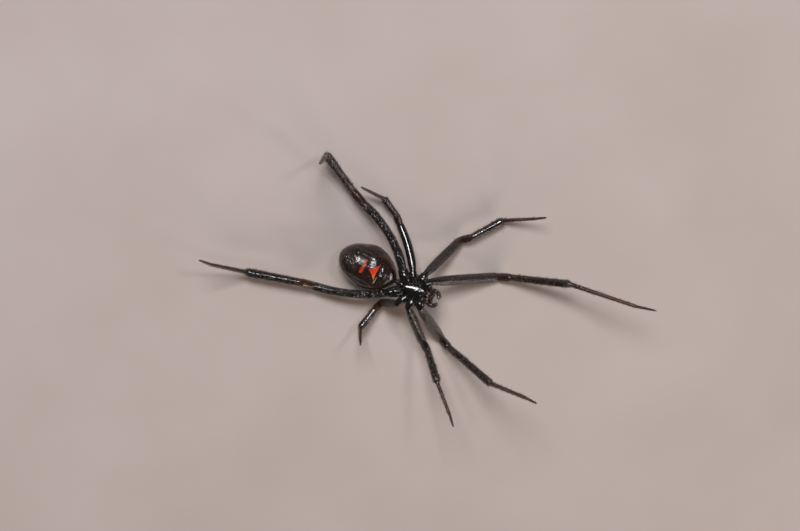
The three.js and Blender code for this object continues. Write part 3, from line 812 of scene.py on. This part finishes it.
# %% Cuticle with its netting, folds and sockets
NET, FOLDS, SOCKETS = 26000, 2100, 4300  # how many fit in a metre, roughly
NET_HEIGHT, FOLD_HEIGHT, SOCKET_HEIGHT = 0.0000018, 0.00012, 0.00005  # in metres
PIGMENT = ((0.0, (0.003, 0.0027, 0.003)), (0.2, (0.011, 0.0062, 0.0046)),
           (0.45, (0.04, 0.0125, 0.0065)), (0.75, (0.1, 0.028, 0.012)), (1.0, (0.18, 0.055, 0.028)))
# The painted glint: a pale bluish colour put on a few socket tips, standing in for highlights
PAINTED_GLINT = (0.34, 0.35, 0.38, 1)


def cuticle(name, sockets=1.0, folds=False):
    """Dark cuticle. The notes make it black or red-brown, and glassy, dull or grainy."""
    f = Finish(name)
    spots = f.node("TexCoord").outputs["Object"]
    tan, dull, grain_and_glint = (f.node("Attribute", attribute_name=key).outputs["Fac"]
                        for key in ("tan", "dull", "grain_and_glint"))
    drift = f.noise(1400, 4, 0.6, spots)
    share = f.maths("MULTIPLY_ADD", drift, 0.3, f.maths("SUBTRACT", tan, 0.15))
    pigment = f.ramp(share, PIGMENT)
    patchy = f.noise(4200, 3, 0.6, spots)
    smooth = f.maths("MULTIPLY_ADD", patchy, 0.12, 0.08)
    f.set(Roughness=f.maths("MULTIPLY_ADD", dull, 0.52, smooth))
    net = f.node("TexVoronoi", feature="DISTANCE_TO_EDGE", Vector=spots, Scale=NET)
    surface = f.node("Bump", Height=f.ramp(net.outputs["Distance"], ((0.0, 0.0), (0.12, 1.0))),
                    Distance=NET_HEIGHT, Strength=0.3)
    if folds:
        surface = f.node("Bump", Height=f.noise(FOLDS, 3, 0.55, spots), Strength=0.6,
                        Distance=FOLD_HEIGHT, Normal=surface.outputs["Normal"])
    # Sockets: each Voronoi cell holds one, and its random colour picks the few that get a painted
    # glint
    cells = f.node("TexVoronoi", feature="F1", Vector=spots, Scale=SOCKETS)
    far = cells.outputs["Distance"]
    socket = f.ramp(far, ((0.0, 1.0), (0.22, 0.78), (0.5, 0.0)))
    few = f.node("SeparateXYZ", Vector=cells.outputs["Color"]).outputs["X"]
    # The mask of the painted glints: the middle of a few sockets, more where the cuticle is grainy
    tip = f.maths("MULTIPLY", f.ramp(far, ((0.12, 1.0), (0.26, 0.0))),
                  f.maths("MULTIPLY", f.ramp(few, ((0.55, 0.0), (0.75, 1.0))), grain_and_glint))
    # The painted glints are blended over the pigment in the base colour
    f.set(Base_Color=f.blend(tip, pigment, PAINTED_GLINT))
    surface = f.node("Bump", Height=f.maths("MULTIPLY", socket, grain_and_glint), Strength=1.0,
                    Distance=SOCKET_HEIGHT * sockets, Normal=surface.outputs["Normal"])
    f.set(Normal=surface.outputs["Normal"], IOR=1.58)
    return f


leg_cuticle = cuticle("leg_cuticle")
leg_cuticle.set(Sheen_Weight=0.06, Sheen_Roughness=0.4, Sheen_Tint=(0.75, 0.45, 0.3, 1))
thorax_cuticle = cuticle("thorax_cuticle", sockets=0.5)
mouth_cuticle = cuticle("mouth_cuticle")
for f in (thorax_cuticle, mouth_cuticle):
    f.set(Coat_Weight=0.5, Coat_Roughness=0.06)
print("materials:", [m.name for m in bpy.data.materials])

# %% [markdown]
# ### The red hourglass
# The mark under the abdomen is colour in the skin, so it belongs in the material. A painted image
# would do, but the mark is two simple shapes: a triangle with hollow sides, and a straight bar
# behind it. A Mapping node brings each point into the abdomen's own frame in millimetres, where
# a few sums draw both, and a little noise keeps their edges from looking cut.

# %% The abdomen's skin with its mark
RAGGED = 0.16  # how far the noise shifts an edge, in millimetres, from one side to the other
abdomen_skin = cuticle("abdomen_skin", sockets=0.4, folds=True)
f = abdomen_skin
f.set(Coat_Weight=0.3, Coat_Roughness=0.08)
into = abdomen_frame.inverted()
own = f.node("Mapping", Vector=f.node("TexCoord").outputs["Object"])
own.inputs["Scale"].default_value = (1 / MM,) * 3
own.inputs["Rotation"].default_value = into.to_euler()
own.inputs["Location"].default_value = into.translation / MM
wobble = f.node("TexNoise", Vector=own.outputs["Vector"], Scale=3.2, Detail=3.0)
shift = f.node("VectorMath", operation="MULTIPLY_ADD")
ragged = (wobble.outputs["Color"], (RAGGED,) * 3, own.outputs["Vector"])
for socket, value in zip(shift.inputs, ragged):
    f.feed(socket, value)
xyz = f.node("SeparateXYZ", Vector=shift.outputs["Vector"])
x, y, z = (f.maths("SUBTRACT", xyz.outputs[k], RAGGED / 2) for k in "XYZ")
aside = f.maths("ABSOLUTE", y)
print("mark on the belly side of", abdomen_skin.material.name)

# %% Drawing the triangle and the bar
def inside(value, edge, soft):
    """One where a value lies below an edge, falling to zero over a soft border."""
    made = f.node("MapRange", interpolation_type="SMOOTHSTEP", clamp=True, Value=value)
    f.feed(made.inputs["From Min"], edge)
    f.feed(made.inputs["From Max"], edge + soft)
    made.inputs["To Min"].default_value = 1
    made.inputs["To Max"].default_value = 0
    return made.outputs["Result"]


SOFT = 0.06  # the blur of an edge
FRONT, LONG, HALF = -2.1, 0.86, 0.74  # the triangle: where it starts, its length, half its width
BAR_FRONT, BAR_BACK, BAR_HALF = -3.38, -3.62, 0.64
HOLLOW = 1.45  # above 1, the triangle's sides are hollow
BELLY = 0.3  # the mark is only drawn above this level

behind = f.maths("MULTIPLY_ADD", x, -1, FRONT)
left_over = f.maths("MAXIMUM", f.maths("MULTIPLY_ADD", behind, -1 / LONG, 1), 0)
width = f.maths("MULTIPLY_ADD", f.maths("POWER", left_over, HOLLOW), HALF, 0.05)
hollow_front = f.maths("MULTIPLY_ADD", f.maths("MULTIPLY", y, y), -0.12, x)
triangle = f.maths("MULTIPLY", inside(f.maths("SUBTRACT", aside, width), -SOFT / 2, SOFT),
                   f.maths("MULTIPLY", inside(hollow_front, FRONT - 0.1, SOFT),
                           inside(behind, LONG - SOFT, 0.08)))
bar = f.maths("MULTIPLY", f.maths("MULTIPLY", inside(x, BAR_FRONT, SOFT),
                                  inside(f.maths("MULTIPLY", x, -1), -BAR_BACK, SOFT)),
              inside(aside, BAR_HALF, SOFT))
under = inside(f.maths("MULTIPLY", z, -1), -BELLY, 0.2)
mark = f.maths("MULTIPLY", f.maths("MAXIMUM", triangle, bar), under)
print("triangle and bar drawn")

# %% Colouring the mark
# It is orange at the triangle's left corner and turns red towards the bar and the right side
RED = ((0.05, (0.3, 0.03, 0.01)), (0.4, (0.5, 0.036, 0.01)), (0.65, (0.64, 0.055, 0.012)),
       (0.95, (0.7, 0.2, 0.02)))
warm = f.maths("MULTIPLY_ADD", y, -0.5, f.maths("MULTIPLY_ADD", x, 0.4, 1.45))
spread = f.maths("MULTIPLY_ADD", wobble.outputs["Fac"], 0.5, f.maths("SUBTRACT", warm, 0.25))
red = f.ramp(spread, RED)
dark = f.shader.inputs["Base Color"].links[0].from_socket
f.set(Base_Color=f.blend(mark, dark, red))
print("the mark is blended into", f.material.name)

# %% Dressing the pieces and joining the skin
for leg, _ in legs.values():
    leg.data.materials.append(leg_cuticle.material)
for piece in (carapace, breastplate):
    piece.data.materials.append(thorax_cuticle.material)
for piece in (lip, *maxillae, *chelicerae, *palps, waist, mound, *cones, tubercle):
    piece.data.materials.append(mouth_cuticle.material)
abdomen.data.materials.append(abdomen_skin.material)

skin = joined("spider_skin", [abdomen, carapace, breastplate, lip, *maxillae, *chelicerae, *palps,
                              waist, mound, *cones, tubercle, *[leg for leg, _ in legs.values()]])
pick(skin, corners(skin)[:, 2] < 0)
bpy.ops.transform.resize(value=(1, 1, 0), center_override=(0, 0, 0))
bpy.ops.mesh.select_all(action="SELECT")
bpy.ops.uv.smart_project(angle_limit=math.radians(66), island_margin=0.002)
bpy.ops.object.mode_set(mode="OBJECT")
skin.data.uv_layers.active.name = "skin_unwrap"
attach(skin, "root")
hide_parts(*[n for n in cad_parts])
print(sum(len(p.vertices) - 2 for p in skin.data.polygons), "triangles in the skin")

# %% [markdown]
# ## Eyes, fangs and claws
# Eight small eyes sit in two rows on the front of the head, each a clear dome in a low rim. Fangs
# and claws are bare, hard and glassy, so they are pieces of their own with a finish of their own.
# A sphere is a fair start for an eye, once it is flattened into the dome. Fangs and claws are
# curved cones from the ring tool, closed to a point.

# %% The eyes
# Each pair: its place along x, its angle from the middle of the head in degrees, and its radius
EYES = ((1.88, 18, 0.09), (1.76, 52, 0.085), (1.66, 12, 0.085), (1.60, 48, 0.085))
SUNK = 0.02  # how deep an eye's middle sits, in millimetres
RIM, FLAT = 1.12, 0.45  # what the lower part of the ball is stretched and flattened by


def head_point(place_along, angle):
    """A point on the carapace and the way out of it there."""
    rows = np.array(sorted(CARAPACE))
    half, top, under = (float(np.interp(place_along, rows[:, 0], rows[:, k])) for k in (1, 2, 3))
    turn = math.radians(angle)
    reach = (top - under) / 2
    level = (top + under) / 2 - reach * math.cos(turn)
    out = Vector((0.75, math.sin(turn), -math.cos(turn))).normalized()
    return Vector((place_along, half * math.sin(turn), level)), out


domes = []
for place_along, angle, radius in EYES:
    for side in (1, -1):
        at, out = head_point(place_along, angle * side)
        bpy.ops.object.select_all(action="DESELECT")
        bpy.ops.mesh.primitive_uv_sphere_add(segments=20, ring_count=12, radius=radius * MM)
        dome = bpy.context.object
        pick(dome, corners(dome)[:, 2] < 0.2 * radius)
        bpy.ops.transform.resize(value=(RIM, RIM, FLAT), center_override=(0, 0, 0))
        bpy.ops.object.mode_set(mode="OBJECT")
        rounded(dome, 1)
        lifted = Matrix.Translation((at - SUNK * out) * MM)
        place(dome, thorax_frame @ lifted @ out.to_track_quat("Z", "Y").to_matrix().to_4x4())
        domes.append(dome)
eyes = joined("eyes", domes)
print(len(domes), "eyes")


# %% Fangs and claws
def hook(name, start, end, bulge, radius, sides=8):
    """A curved cone that ends in a point. The bulge is the reach of its bow."""
    start, end, bulge = Vector(start), Vector(end), Vector(bulge)
    rings = []
    for share in (0, 0.2, 0.45, 0.7, 0.88, 1):
        at = start.lerp(end, share) + 4 * share * (1 - share) * bulge
        way = end - start + 4 * (1 - 2 * share) * bulge
        rings.append((at, way, radius * (1 - 0.96 * share ** 1.3)))
    return loft(name, rings, sides, 1, point=True)


hooks = []
for side in (1, -1):
    fang = hook("fang", (1.82, 0.3 * side, -0.17), (1.56, 0.1 * side, 0.03),
                (0.02, -0.03 * side, 0.07), 0.075)
    hooks.append(place(fang, thorax_frame))
fangs = joined("fangs", hooks)

NAILS = ((0.5, 0.13), (-0.5, 0.13), (0, 0.08))  # how far aside each claw stands, and its length
nails = []
for _, rings in legs.values():
    tip, way, radius = rings[-1]
    across = way.orthogonal().normalized()
    down = way.cross(across)
    for aside, long in NAILS:
        start = tip - 0.04 * way + aside * radius * across
        end = start + long * (way + 0.5 * down + 0.4 * aside * across)
        nails.append(hook("claw", start, end, 0.02 * way - 0.02 * down, 0.018, 5))
claws = joined("claws", nails)
print(len(hooks), "fangs,", len(nails), "claws")


# %% A hard, glassy finish for eyes, fangs and claws
def mottled(name, scale, detail, dark, light, high=0.75, rough=None, **values):
    """A finish whose colour, and if asked its roughness, drifts with one noise."""
    f = Finish(name)
    drift = f.noise(scale, detail)
    f.set(Base_Color=f.ramp(drift, ((0.3, dark), (high, light))))
    if rough:
        least, more = rough
        f.set(Roughness=f.maths("MULTIPLY_ADD", drift, more, least))
    f.set(**values)
    return f


eye_glass = mottled("eye_glass", 9000, 2, (0.012, 0.007, 0.006), (0.05, 0.028, 0.02), 0.7,
                    (0.03, 0.05), Coat_Weight=1.0, Coat_Roughness=0.03)
horn = mottled("horn", 12000, 3, (0.02, 0.008, 0.005), (0.12, 0.035, 0.015),
               rough=(0.14, 0.15), Coat_Weight=0.3)
for piece, finish, slot in ((eyes, eye_glass, "cuticle"), (fangs, horn, "cuticle"),
                            (claws, horn, "foot_brown")):
    piece.data.materials.clear()
    piece.data.materials.append(finish.material)
    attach(piece, "root")
print("eyes, fangs and claws are finished")

# %% [markdown]
# ## The hairs
# Legs and palps are covered with fine hairs that lean towards the tips. Between them stand stouter
# bristles, and the body has short, sparse down. Particle hair would be quickest, but it is no
# mesh and is lost when the part is exported. So one hair is modelled with the ring tool, a curved
# cone of ten triangles, and copied into one mesh: each copy is rooted at a random point of the
# skin, tilted along the lie that was noted there, and sized by its place.

# %% One hair
hair = loft("hair", [((0, 0, -0.08), (0, 0, 1), 0.055), ((0, 0, 0.45), (0.1, 0, 1), 0.042),
                     ((0.16, 0, 1), (0.3, 0, 1), 0.01)], sides=3, levels=0, point=True)
hair_corners = corners(hair)
hair_faces = [tuple(face.vertices) for face in hair.data.polygons]
bpy.data.objects.remove(hair)
hair_triangles = sum(len(face) - 2 for face in hair_faces)
print(len(hair_corners), "corners,", hair_triangles, "triangles")

# %% Reading the skin for the roots of the hairs
mesh = skin.data
mesh.calc_loop_triangles()
tri_corners = gathered(mesh.loop_triangles, "vertices", 3, np.int32)
tri_loops = gathered(mesh.loop_triangles, "loops", 3, np.int32)
skin_spots = corners(skin)
normals = gathered(mesh.vertices, "normal", 3)
lays = gathered(mesh.attributes["lay"].data, "vector", 3)
coats, reaches = read(skin, "coat"), read(skin, "reach")
unwrap = gathered(mesh.uv_layers["skin_unwrap"].data, "uv", 2)
a, b, c = (skin_spots[tri_corners[:, k]] for k in range(3))
tri_areas = np.linalg.norm(np.cross(b - a, c - a), axis=1) / 2
print("skin area", round(float(tri_areas.sum())), "square mm")

# %% The finish of the hairs
hair_finish = mottled("hair_horn", 3000, 3, (0.012, 0.009, 0.008), (0.2, 0.16, 0.13),
                      rough=(0.25, 0.2), Specular_IOR_Level=0.7, Sheen_Weight=0.2)
print("finish", hair_finish.material.name)

# %% Growing a coat
LIMB = (0, 1, 2, 2.6, 3.2, 4, 5, 6)  # the places along a limb that a table of lengths is for
SPARE = 1.1   # hairs tried for each hair wanted, since those that touch the floor are left out
CLEAR = 0.01  # the least distance from the floor, in millimetres
STRAY = 0.22  # how far a hair strays from the noted lie
PATCH = 0.003  # the size of a hair in the texture


def grow(name, wanted, weigh, lengths, vary, leans, seed):
    """Copies the hair to random roots, more where weigh(coat) is high. Lengths are a table along
    the limb in millimetres, times a random share. The leans are a range in degrees."""
    rng = np.random.default_rng(seed)
    amount = int(SPARE * wanted)
    chance = tri_areas * weigh(coats[tri_corners].mean(1))
    chosen = rng.choice(len(tri_areas), size=amount, p=chance / chance.sum())
    shares = rng.dirichlet((1, 1, 1), amount)

    def at_root(values, rows):
        """Mixes the values at the three corners of a triangle by the shares of its root."""
        return np.einsum("ij,ijk->ik", shares, values[rows])

    rows = tri_corners[chosen]
    roots, out = at_root(skin_spots, rows), at_root(normals, rows)
    out /= np.linalg.norm(out, axis=1)[:, None]
    lay = at_root(lays, rows) + rng.normal(0, STRAY, (amount, 3))
    lay -= (lay * out).sum(1)[:, None] * out
    lay /= np.linalg.norm(lay, axis=1)[:, None] + 1e-9
    reach = (shares * reaches[rows]).sum(1)
    lean = np.radians(rng.uniform(*leans, amount))
    long = np.interp(reach, LIMB, lengths) * rng.uniform(*vary, amount)
    stem = np.cos(lean)[:, None] * lay + np.sin(lean)[:, None] * out
    front = lay - (lay * stem).sum(1)[:, None] * stem
    front /= np.linalg.norm(front, axis=1)[:, None] + 1e-9
    beside = np.cross(stem, front)
    spots = roots[:, None] + long[:, None, None] * (
        hair_corners[None, :, :1] * front[:, None] + hair_corners[None, :, 1:2] * beside[:, None]
        + hair_corners[None, :, 2:] * stem[:, None])

    clear = np.nonzero(spots[..., 2].min(1) > CLEAR)[0][:wanted]
    amount, spots, shares, chosen = len(clear), spots[clear], shares[clear], chosen[clear]
    faces = [tuple(i * len(hair_corners) + k for k in face)
             for i in range(amount) for face in hair_faces]
    coat = bpy.data.meshes.new(name)
    coat.from_pydata((spots.reshape(-1, 3) * MM).tolist(), [], faces)
    patch = hair_corners[:, :2] * 10 + hair_corners[:, 2:] * np.array((0.5, 0.8))
    patch = PATCH * (patch - patch.min(0)) / np.ptp(patch, axis=0)
    root_uv = at_root(unwrap, tri_loops[chosen])
    corner_uv = (root_uv[:, None] + patch[None]).reshape(-1, 2)
    loop_corners = gathered(coat.loops, "vertex_index", kind=np.int32)
    coat.uv_layers.new(name="OFBake").data.foreach_set("uv", corner_uv[loop_corners].ravel())
    coat.shade_smooth()
    thing = bpy.data.objects.new(name, coat)
    bpy.context.collection.objects.link(thing)
    coat.materials.append(hair_finish.material)
    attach(thing, "root")
    print(name, amount, "hairs,", amount * hair_triangles, "triangles")


# %% Three coats: fine hairs, stouter bristles, and down
SPARSE = 0.35  # below this the coat is down, above it fine hairs
grow("fine_hairs", 11000, lambda coat: coat * (coat > SPARSE),
     (0.13, 0.15, 0.16, 0.16, 0.19, 0.18, 0.15, 0.1), (0.7, 1.2), (18, 40), 5)
grow("bristles", 2600, lambda coat: np.clip(coat - 0.5, 0, 1),
     (0.2, 0.2, 0.24, 0.24, 0.32, 0.3, 0.22, 0.15), (0.8, 1.25), (30, 55), 8)
grow("down", 2200, lambda coat: (coat < SPARSE) * coat,
     (1,) * len(LIMB), (0.09, 0.16), (15, 35), 13)

# %% [markdown]
# ## Stage and light
# The floor is plain and pale, a wide plane with a very faint grain. Glossy black shows little but
# reflections, so the size and place of the lamps matter more than their strength. The key is a
# large soft box near the camera, a little above it, and gives the long streaks on the legs. A small
# lamp beside it gives the left hind leg its own. A weak violet fill and a warm, broad rim stand low
# at the picture's lower right, and the world adds a little from all round. One sun would be
# simpler, but it leaves points where a soft box leaves streaks.

# %% The floor
bpy.ops.object.select_all(action="DESELECT")
bpy.ops.mesh.primitive_plane_add(size=3)
floor = bpy.context.object
floor.name = "floor"
paper = mottled("paper", 60, 4, (0.46, 0.385, 0.35), (0.5, 0.425, 0.39), 0.7, Roughness=0.8,
                Specular_IOR_Level=0.2)
floor.data.materials.append(paper.material)
floor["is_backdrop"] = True
print("floor of", floor.dimensions.x, "m")


# %% Lamps and world
def soft_box(name, way, distance, wide, high, power, colour):
    """A rectangular lamp that looks at the spider from a direction. Metres and watts."""
    lamp = bpy.data.lights.new(name, "AREA")
    lamp.shape = "RECTANGLE"
    lamp.size, lamp.size_y, lamp.energy, lamp.color = wide, high, power, colour
    thing = bpy.data.objects.new(name, lamp)
    bpy.context.collection.objects.link(thing)
    way = Vector(way).normalized()
    thing.location = BREASTPLATE * MM + distance * way
    thing.rotation_euler = way.to_track_quat("Z", "Y").to_euler()


TOWARDS = -LOOK
LAMPS = (
    ("key", TOWARDS + math.tan(math.radians(14)) * UP - 0.05 * RIGHT,
     0.55, 0.13, 0.11, 2.7, (0.93, 0.96, 1.0)),
    ("fill", 0.21 * TOWARDS - 0.41 * UP + 0.89 * RIGHT, 0.5, 0.1, 0.08, 0.4, (0.95, 0.88, 1.0)),
    ("side", TOWARDS + 0.33 * RIGHT + 0.15 * UP, 0.55, 0.05, 0.05, 0.5, (0.95, 0.93, 1.0)),
    ("rim", -0.05 * TOWARDS - 0.75 * UP + 0.5 * RIGHT, 0.5, 0.3, 0.2, 1.0, (1.0, 0.8, 0.62)))
for lamp in LAMPS:
    soft_box(*lamp)
world = bpy.data.worlds.new("studio")
world.use_nodes = True
glow = world.node_tree.nodes["Background"].inputs
glow["Color"].default_value = (0.95, 0.9, 0.87, 1)
glow["Strength"].default_value = 0.07
bpy.context.scene.world = world
bpy.context.scene.view_settings.view_transform = "Standard"

# %% Closing: how far the dressing grew past the solids
dressed_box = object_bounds()
grown = [[round(1000 * (q - p), 3) for p, q in zip(*pair)] for pair in zip(solid_box, dressed_box)]
print("grown by", grown, "mm")
